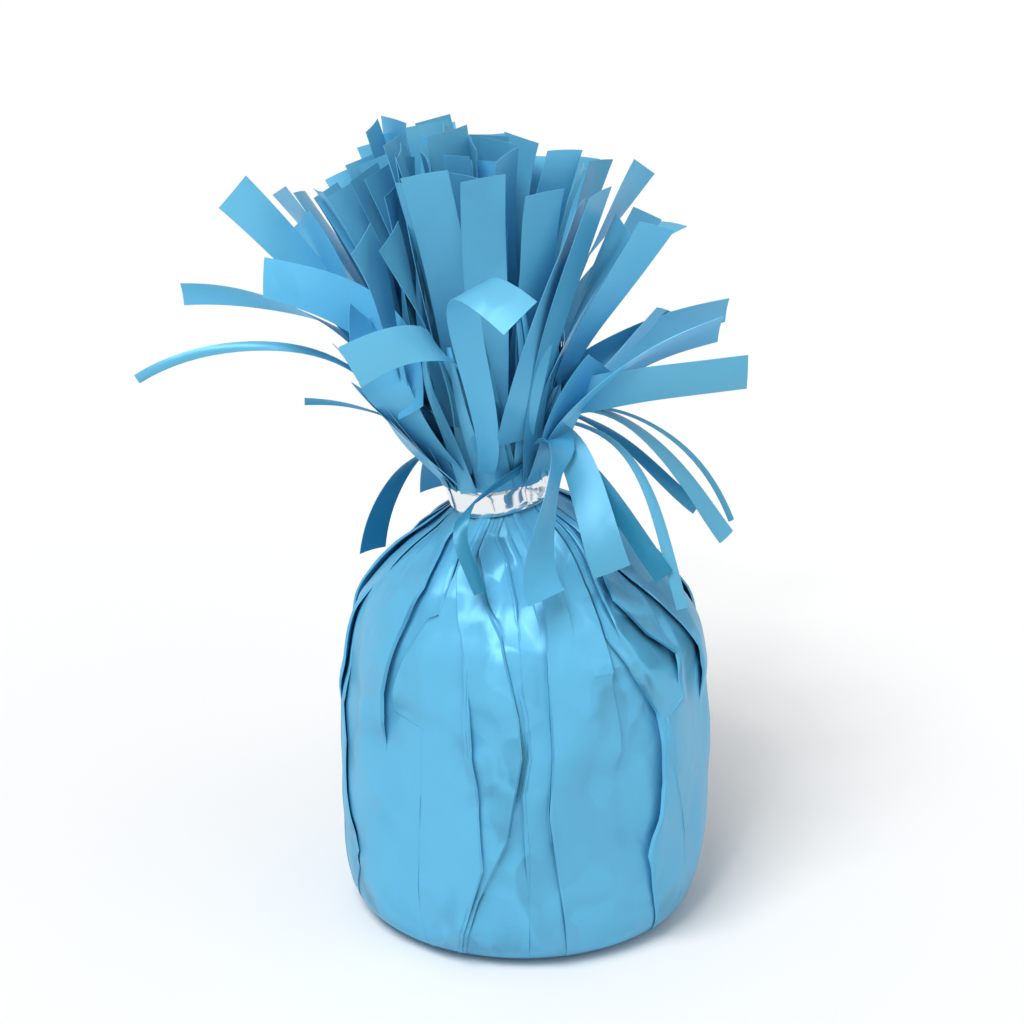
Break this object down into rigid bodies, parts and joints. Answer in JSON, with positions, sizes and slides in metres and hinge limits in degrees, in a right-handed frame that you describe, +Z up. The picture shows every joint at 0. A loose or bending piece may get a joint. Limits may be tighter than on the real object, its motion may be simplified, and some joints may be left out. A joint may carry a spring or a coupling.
{
  "type": "balloon weight",
  "caption": "Film-wrapped cement balloon weight, gathered and tied at the neck, with the film above the tie slit into a fringe of loose flexing strips.",
  "frame": {"origin": "centre of the face that the weight stands on", "axes": "+Z up, -Y towards the front that the picture shows, +X to its right"},
  "size_m": [0.1002, 0.0764, 0.1347],
  "materials": {
    "film": "satin pastel-blue polyester film",
    "tie_foil": "bright metallised polyester film",
    "tie_liner": "matt film",
    "tie_wire": "bare annealed wire",
    "cement": "rough cast cement mortar",
    "cup_plastic": "thin formed polystyrene",
    "card": "plain grey board"
  },
  "bodies": {
    "weight": {"ballast_cup": "cup_plastic", "ballast_plug": "cement", "cup_lid": "card", "film_wrap": "film", "film_collar": "film", "tie_liner": "tie_liner", "tie_wire": "tie_wire", "tie_foil": "tie_foil", "fringe_ring_1": "film", "fringe_ring_2": "film", "fringe_ring_3": "film", "fringe_ring_4": "film", "fringe_ring_5": "film"},
    "strip_left_long": {"strip_left_long": "film"},
    "strip_left_upper": {"strip_left_upper": "film"},
    "strip_left_level": {"strip_left_level": "film"},
    "strip_front_left_curl": {"strip_front_left_curl": "film"},
    "strip_front_curl": {"strip_front_curl": "film"},
    "strip_right_level": {"strip_right_level": "film"},
    "strip_right_raised": {"strip_right_raised": "film"},
    "strip_rear_right_level": {"strip_rear_right_level": "film"},
    "strip_rear_curl": {"strip_rear_curl": "film"},
    "strip_rear_left_level": {"strip_rear_left_level": "film"},
    "strip_front_wide": {"strip_front_wide": "film"},
    "strip_right_narrow": {"strip_right_narrow": "film"},
    "strip_right_arch": {"strip_right_arch": "film"},
    "strip_rear_right_arch": {"strip_rear_right_arch": "film"},
    "strip_left_short": {"strip_left_short": "film"},
    "strip_front_thin": {"strip_front_thin": "film"},
    "strip_front_twisted": {"strip_front_twisted": "film"},
    "strip_right_front_drop": {"strip_right_front_drop": "film"},
    "strip_rear_hanging": {"strip_rear_hanging": "film"},
    "strip_left_hanging": {"strip_left_hanging": "film"},
    "tie_tail": {"tie_tail": "tie_foil"}
  },
  "joints": [
    {"name": "strip_left_long_flex", "type": "hinge", "parent": "weight", "child": "strip_left_long", "pos_m": [-0.02357, -0.00121, 0.09089], "axis": [0.0691, -0.9976, 0.0097], "range_deg": [-9, 15], "stiffness_Nm_per_rad": 0.000256},
    {"name": "strip_left_upper_flex", "type": "hinge", "parent": "weight", "child": "strip_left_upper", "pos_m": [-0.0231, 0.00419, 0.09096], "axis": [-0.2396, -0.9703, -0.0337], "range_deg": [-15, 20], "stiffness_Nm_per_rad": 0.000482},
    {"name": "strip_left_level_flex", "type": "hinge", "parent": "weight", "child": "strip_left_level", "pos_m": [-0.01794, -0.01286, 0.09168], "axis": [0.5323, -0.5547, 0.6395], "range_deg": [0, 12], "stiffness_Nm_per_rad": 0.000302},
    {"name": "strip_front_left_curl_flex", "type": "hinge", "parent": "weight", "child": "strip_front_left_curl", "pos_m": [-0.01091, -0.01671, 0.09267], "axis": [0.5082, -0.1664, 0.845], "range_deg": [0, 30], "stiffness_Nm_per_rad": 0.000067},
    {"name": "strip_front_curl_flex", "type": "hinge", "parent": "weight", "child": "strip_front_curl", "pos_m": [-0.00439, -0.01717, 0.09359], "axis": [0.9921, 0.12, -0.0359], "range_deg": [0, 30], "stiffness_Nm_per_rad": 0.000257},
    {"name": "strip_right_level_flex", "type": "hinge", "parent": "weight", "child": "strip_right_level", "pos_m": [0.00407, -0.01363, 0.09477], "axis": [0.1663, 0.0215, -0.9858], "range_deg": [-9, 20], "stiffness_Nm_per_rad": 0.000379},
    {"name": "strip_right_raised_flex", "type": "hinge", "parent": "weight", "child": "strip_right_raised", "pos_m": [0.00905, -0.00731, 0.09547], "axis": [0.1537, 0.0316, -0.9876], "range_deg": [-15, 9], "stiffness_Nm_per_rad": 0.000224},
    {"name": "strip_rear_right_level_flex", "type": "hinge", "parent": "weight", "child": "strip_rear_right_level", "pos_m": [0.00542, 0.01244, 0.09496], "axis": [-0.7123, 0.6947, -0.1001], "range_deg": [-24, 15], "stiffness_Nm_per_rad": 0.000352},
    {"name": "strip_rear_curl_flex", "type": "hinge", "parent": "weight", "child": "strip_rear_curl", "pos_m": [-0.00708, 0.01729, 0.09321], "axis": [-0.9897, -0.0349, -0.1391], "range_deg": [-18, 30], "stiffness_Nm_per_rad": 0.000352},
    {"name": "strip_rear_left_level_flex", "type": "hinge", "parent": "weight", "child": "strip_rear_left_level", "pos_m": [-0.01749, 0.01325, 0.09174], "axis": [-0.7586, -0.6428, -0.1066], "range_deg": [-24, 30], "stiffness_Nm_per_rad": 0.000438},
    {"name": "strip_front_wide_flex", "type": "hinge", "parent": "weight", "child": "strip_front_wide", "pos_m": [0.003, -0.0075, 0.08574], "axis": [0.6626, 0.7431, 0.0931], "range_deg": [-24, 9], "stiffness_Nm_per_rad": 0.000178},
    {"name": "strip_right_narrow_flex", "type": "hinge", "parent": "weight", "child": "strip_right_narrow", "pos_m": [0.00587, -0.00158, 0.08614], "axis": [0.1558, 0.9806, -0.1186], "range_deg": [-12, 6], "stiffness_Nm_per_rad": 0.00024},
    {"name": "strip_right_arch_flex", "type": "hinge", "parent": "weight", "child": "strip_right_arch", "pos_m": [0.00542, 0.00309, 0.08608], "axis": [-0.273, 0.9613, -0.0384], "range_deg": [-12, 24], "stiffness_Nm_per_rad": 0.000427},
    {"name": "strip_rear_right_arch_flex", "type": "hinge", "parent": "weight", "child": "strip_rear_right_arch", "pos_m": [0.003, 0.0075, 0.08574], "axis": [-0.6626, 0.7431, -0.0931], "range_deg": [-12, 30], "stiffness_Nm_per_rad": 0.000241},
    {"name": "strip_left_short_flex", "type": "hinge", "parent": "weight", "child": "strip_left_short", "pos_m": [-0.01635, 0.00039, 0.08302], "axis": [-0.0346, -0.9994, -0.0049], "range_deg": [-3, 25], "stiffness_Nm_per_rad": 0.0000362},
    {"name": "strip_front_thin_flex", "type": "hinge", "parent": "weight", "child": "strip_front_thin", "pos_m": [-0.00302, -0.00899, 0.08004], "axis": [0.9375, 0.1561, -0.3109], "range_deg": [-24, 0], "stiffness_Nm_per_rad": 0.0000535},
    {"name": "strip_front_twisted_flex", "type": "hinge", "parent": "weight", "child": "strip_front_twisted", "pos_m": [0.00075, -0.00742, 0.08057], "axis": [0.8004, 0.5523, -0.2329], "range_deg": [-12, 0], "stiffness_Nm_per_rad": 0.0000992},
    {"name": "strip_right_front_drop_flex", "type": "hinge", "parent": "weight", "child": "strip_right_front_drop", "pos_m": [0.00377, -0.00307, 0.081], "axis": [0.3476, 0.9374, -0.0216], "range_deg": [-12, 9], "stiffness_Nm_per_rad": 0.000167},
    {"name": "strip_rear_hanging_flex", "type": "hinge", "parent": "weight", "child": "strip_rear_hanging", "pos_m": [-0.0079, 0.00828, 0.07936], "axis": [-0.9182, -0.3746, -0.129], "range_deg": [-24, 15], "stiffness_Nm_per_rad": 0.000282},
    {"name": "strip_left_hanging_flex", "type": "hinge", "parent": "weight", "child": "strip_left_hanging", "pos_m": [-0.01224, 0.00446, 0.07875], "axis": [-0.4951, -0.866, -0.0696], "range_deg": [-24, 2], "stiffness_Nm_per_rad": 0.00018},
    {"name": "tie_tail_bend", "type": "hinge", "parent": "weight", "child": "tie_tail", "pos_m": [-0.00199, 0.00896, 0.07504], "axis": [-0.9686, 0.2079, -0.1361], "range_deg": [-30, 30]}
  ]
}
